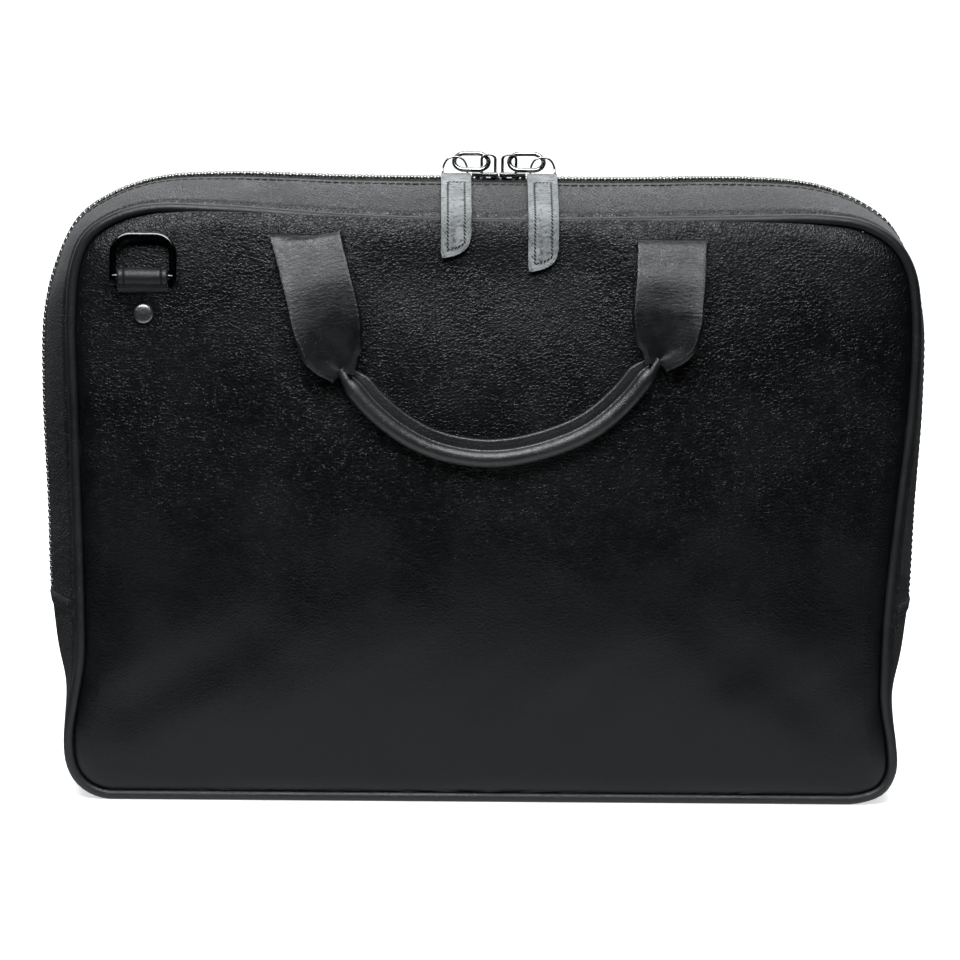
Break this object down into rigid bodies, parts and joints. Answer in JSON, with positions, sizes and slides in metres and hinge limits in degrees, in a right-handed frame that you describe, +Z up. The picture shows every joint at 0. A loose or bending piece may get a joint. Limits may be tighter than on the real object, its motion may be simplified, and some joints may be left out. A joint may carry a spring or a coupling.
{
  "type": "leather document case",
  "caption": "Soft zip-top leather case for papers and a laptop, with rolled carrying handles and swinging strap rings.",
  "frame": {"origin": "on the floor below the middle of the case", "axes": "+X to the right along the case, +Y to the back, +Z up; the front with the zip pulls faces -Y"},
  "size_m": [0.4058, 0.1196, 0.2977],
  "materials": {
    "black_leather": "pebbled, semi-gloss",
    "zip_tape": "woven, matte",
    "nickel": "polished",
    "gunmetal": "polished dark",
    "dark_nickel": "brushed",
    "grey_leather": "matte, creased"
  },
  "bodies": {
    "case": {"front_panel": "black_leather", "back_panel": "black_leather", "front_piping": "black_leather", "back_piping": "black_leather", "front_zip_gusset": "black_leather", "back_zip_gusset": "black_leather", "bottom_gusset": "black_leather", "front_zip_tape": "zip_tape", "back_zip_tape": "zip_tape", "zip_chain": "nickel", "left_slider": "nickel", "right_slider": "nickel", "left_pull_link": "nickel", "right_pull_link": "nickel", "left_pull_wire": "nickel", "right_pull_wire": "nickel", "left_pull_tab": "grey_leather", "right_pull_tab": "grey_leather", "front_strap_left": "black_leather", "front_strap_right": "black_leather", "front_handle_grip": "black_leather", "back_strap_left": "black_leather", "back_strap_right": "black_leather", "back_handle_grip": "black_leather", "front_ring_tab": "black_leather", "back_ring_tab": "black_leather", "front_rivet": "dark_nickel", "back_rivet": "dark_nickel"},
    "front_ring": {"front_d_ring": "gunmetal"},
    "back_ring": {"back_d_ring": "gunmetal"}
  },
  "joints": [
    {"name": "front_ring_swing", "type": "hinge", "parent": "case", "child": "front_ring", "pos_m": [-0.1537, -0.04718, 0.245], "axis": [1, 0, 0], "range_deg": [0, 150]},
    {"name": "back_ring_swing", "type": "hinge", "parent": "case", "child": "back_ring", "pos_m": [0.1537, 0.04718, 0.245], "axis": [-1, 0, 0], "range_deg": [0, 150]}
  ]
}
